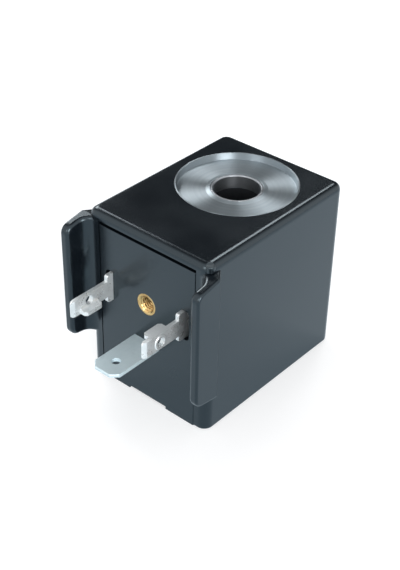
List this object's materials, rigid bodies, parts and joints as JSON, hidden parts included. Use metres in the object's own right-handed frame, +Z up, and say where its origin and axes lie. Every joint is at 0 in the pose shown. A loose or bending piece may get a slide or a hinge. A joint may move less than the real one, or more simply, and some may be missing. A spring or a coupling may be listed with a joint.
{
  "type": "solenoid valve coil",
  "caption": "Moulded rectangular solenoid coil with a through bore in a dished steel pole plate, and a blade connector face between two guard wings.",
  "frame": {"origin": "on the axis of the armature tube's bore, on the bottom face that seats on the valve", "axes": "+Z up along the bore, towards the dished end; -Y is the way the connector face looks; X along the connector face"},
  "size_m": [0.034, 0.052, 0.0378],
  "materials": {
    "black_moulding": "fine satin glass-filled polyamide, moulded",
    "carrier_moulding": "fine satin glass-filled polyamide, moulded",
    "turned_steel": "turned and lightly polished, zinc plated",
    "bush_steel": "drawn steel, zinc plated",
    "yoke_steel": "rolled strip, phosphated",
    "bobbin_plastic": "moulded polyester",
    "enamelled_copper": "enamelled copper wire",
    "tape": "polyester film tape",
    "tinned_brass": "tin-plated stamped brass strip",
    "earth_tin": "tin-plated stamped brass strip, dull",
    "rivet_steel": "plated steel",
    "brass": "machined brass",
    "sleeving": "varnished glass-fibre sleeving",
    "solder": "bright solder"
  },
  "bodies": {
    "root": {"housing": "black_moulding", "terminal_carrier": "carrier_moulding", "top_pole_plate": "turned_steel", "bottom_pole_plate": "turned_steel", "upper_bush": "bush_steel", "lower_bush": "bush_steel", "yoke_shell": "yoke_steel", "bobbin": "bobbin_plastic", "winding": "enamelled_copper", "winding_tape": "tape", "line_terminal_left": "tinned_brass", "line_terminal_right": "tinned_brass", "earth_terminal": "earth_tin", "earth_rivet": "rivet_steel", "threaded_insert": "brass", "start_lead": "enamelled_copper", "finish_lead": "enamelled_copper", "start_lead_sleeve": "sleeving", "finish_lead_sleeve": "sleeving", "solder_joints": "solder"}
  },
  "joints": []
}
